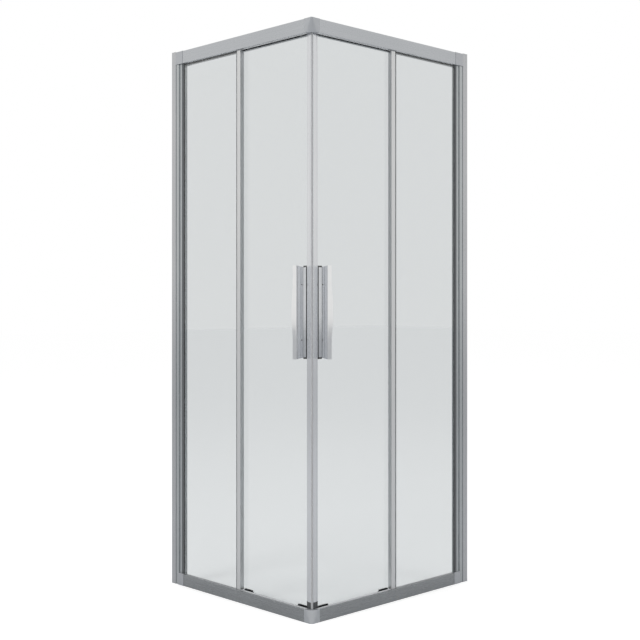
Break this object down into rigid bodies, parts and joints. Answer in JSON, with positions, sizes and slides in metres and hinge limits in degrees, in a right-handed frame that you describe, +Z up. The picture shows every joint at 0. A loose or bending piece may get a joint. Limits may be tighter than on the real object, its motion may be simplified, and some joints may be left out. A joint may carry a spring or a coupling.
{
  "type": "corner-entry shower enclosure",
  "caption": "Square corner-entry shower enclosure: fixed glass panels on both sides, and sliding glass doors that meet at the front corner in a silver aluminium frame.",
  "frame": {"origin": "on the floor, where the centre planes of the two sides' rails cross at the front corner", "axes": "+Z up; +X from the front corner along the right side to its wall; +Y from the front corner along the left side to its wall"},
  "size_m": [0.787, 0.787, 1.95],
  "materials": {
    "wall_channel_aluminium": "satin silver",
    "jamb_aluminium": "satin silver",
    "rail_aluminium": "bright brushed silver",
    "stile_aluminium": "bright silver",
    "cap_plastic": "silver grey",
    "corner_plastic": "silver grey",
    "clear_glass": "clear, polished edges",
    "dark_gasket": "matt",
    "stop_rubber": "matt",
    "grey_strip": "satin silver",
    "pale_seal": "translucent grey",
    "dark_plastic": "fine texture",
    "carriage_plastic": "fine texture",
    "roller_plastic": "smooth",
    "polished_chrome": "polished",
    "screw_steel": "turned"
  },
  "bodies": {
    "enclosure_frame": {"right_wall_channel": "wall_channel_aluminium", "right_jamb": "jamb_aluminium", "right_top_rail": "rail_aluminium", "right_bottom_rail": "rail_aluminium", "right_top_end_cap": "cap_plastic", "right_bottom_end_cap": "cap_plastic", "right_fixed_glass": "clear_glass", "right_glazing_gaskets": "dark_gasket", "right_fixed_strip": "grey_strip", "right_door_stops": "stop_rubber", "left_wall_channel": "wall_channel_aluminium", "left_jamb": "jamb_aluminium", "left_top_rail": "rail_aluminium", "left_bottom_rail": "rail_aluminium", "left_top_end_cap": "cap_plastic", "left_bottom_end_cap": "cap_plastic", "left_fixed_glass": "clear_glass", "left_glazing_gaskets": "dark_gasket", "left_fixed_strip": "grey_strip", "left_door_stops": "stop_rubber", "top_corner": "corner_plastic", "bottom_corner": "corner_plastic", "rail_screws": "screw_steel", "short_screws": "screw_steel"},
    "right_door": {"right_door_glass": "clear_glass", "right_closing_stile": "stile_aluminium", "right_stile_foot": "dark_plastic", "right_magnetic_seal": "pale_seal", "right_rear_strip": "pale_seal", "right_roller_axles": "screw_steel", "right_roller_caps": "polished_chrome", "right_carriages": "carriage_plastic", "right_handle": "polished_chrome", "right_inner_grip": "polished_chrome", "right_handle_posts": "polished_chrome", "right_grub_screws": "screw_steel"},
    "right_front_roller": {"right_front_roller": "roller_plastic"},
    "right_front_release": {"right_front_release": "dark_plastic"},
    "right_front_wheel": {"right_front_wheel": "roller_plastic"},
    "right_rear_roller": {"right_rear_roller": "roller_plastic"},
    "right_rear_release": {"right_rear_release": "dark_plastic"},
    "right_rear_wheel": {"right_rear_wheel": "roller_plastic"},
    "left_door": {"left_door_glass": "clear_glass", "left_closing_stile": "stile_aluminium", "left_stile_foot": "dark_plastic", "left_magnetic_seal": "pale_seal", "left_rear_strip": "pale_seal", "left_roller_axles": "screw_steel", "left_roller_caps": "polished_chrome", "left_carriages": "carriage_plastic", "left_handle": "polished_chrome", "left_inner_grip": "polished_chrome", "left_handle_posts": "polished_chrome", "left_grub_screws": "screw_steel"},
    "left_front_roller": {"left_front_roller": "roller_plastic"},
    "left_front_release": {"left_front_release": "dark_plastic"},
    "left_front_wheel": {"left_front_wheel": "roller_plastic"},
    "left_rear_roller": {"left_rear_roller": "roller_plastic"},
    "left_rear_release": {"left_rear_release": "dark_plastic"},
    "left_rear_wheel": {"left_rear_wheel": "roller_plastic"}
  },
  "joints": [
    {"name": "right_door_slide", "type": "slide", "parent": "enclosure_frame", "child": "right_door", "axis": [1, 0, 0], "range_m": [0, 0.275]},
    {"name": "right_front_roller_spin", "type": "hinge", "parent": "right_door", "child": "right_front_roller", "pos_m": [0.056, 0.0135, 1.9155], "axis": [0, 1, 0], "continuous": true},
    {"name": "right_front_release_press", "type": "slide", "parent": "right_door", "child": "right_front_release", "axis": [0, 0, 1], "range_m": [-0.005, 0], "stiffness_N_per_m": 800, "springref_m": 0.003},
    {"name": "right_front_wheel_spin", "type": "hinge", "parent": "right_front_release", "child": "right_front_wheel", "pos_m": [0.056, 0.0135, 0.015], "axis": [0, 1, 0], "continuous": true},
    {"name": "right_rear_roller_spin", "type": "hinge", "parent": "right_door", "child": "right_rear_roller", "pos_m": [0.336, 0.0135, 1.9155], "axis": [0, 1, 0], "continuous": true},
    {"name": "right_rear_release_press", "type": "slide", "parent": "right_door", "child": "right_rear_release", "axis": [0, 0, 1], "range_m": [-0.005, 0], "stiffness_N_per_m": 800, "springref_m": 0.003},
    {"name": "right_rear_wheel_spin", "type": "hinge", "parent": "right_rear_release", "child": "right_rear_wheel", "pos_m": [0.336, 0.0135, 0.015], "axis": [0, 1, 0], "continuous": true},
    {"name": "left_door_slide", "type": "slide", "parent": "enclosure_frame", "child": "left_door", "axis": [0, 1, 0], "range_m": [0, 0.275]},
    {"name": "left_front_roller_spin", "type": "hinge", "parent": "left_door", "child": "left_front_roller", "pos_m": [0.0135, 0.056, 1.9155], "axis": [1, 0, 0], "continuous": true},
    {"name": "left_front_release_press", "type": "slide", "parent": "left_door", "child": "left_front_release", "axis": [0, 0, 1], "range_m": [-0.005, 0], "stiffness_N_per_m": 800, "springref_m": 0.003},
    {"name": "left_front_wheel_spin", "type": "hinge", "parent": "left_front_release", "child": "left_front_wheel", "pos_m": [0.0135, 0.056, 0.015], "axis": [1, 0, 0], "continuous": true},
    {"name": "left_rear_roller_spin", "type": "hinge", "parent": "left_door", "child": "left_rear_roller", "pos_m": [0.0135, 0.336, 1.9155], "axis": [1, 0, 0], "continuous": true},
    {"name": "left_rear_release_press", "type": "slide", "parent": "left_door", "child": "left_rear_release", "axis": [0, 0, 1], "range_m": [-0.005, 0], "stiffness_N_per_m": 800, "springref_m": 0.003},
    {"name": "left_rear_wheel_spin", "type": "hinge", "parent": "left_rear_release", "child": "left_rear_wheel", "pos_m": [0.0135, 0.336, 0.015], "axis": [1, 0, 0], "continuous": true}
  ],
  "couplings": [
    {"joint": "right_front_roller_spin", "follows": "right_door_slide", "rad_per_m": 117.65},
    {"joint": "right_front_wheel_spin", "follows": "right_door_slide", "rad_per_m": -172.41},
    {"joint": "right_rear_roller_spin", "follows": "right_door_slide", "rad_per_m": 117.65},
    {"joint": "right_rear_wheel_spin", "follows": "right_door_slide", "rad_per_m": -172.41},
    {"joint": "left_front_roller_spin", "follows": "left_door_slide", "rad_per_m": -117.65},
    {"joint": "left_front_wheel_spin", "follows": "left_door_slide", "rad_per_m": 172.41},
    {"joint": "left_rear_roller_spin", "follows": "left_door_slide", "rad_per_m": -117.65},
    {"joint": "left_rear_wheel_spin", "follows": "left_door_slide", "rad_per_m": 172.41}
  ]
}
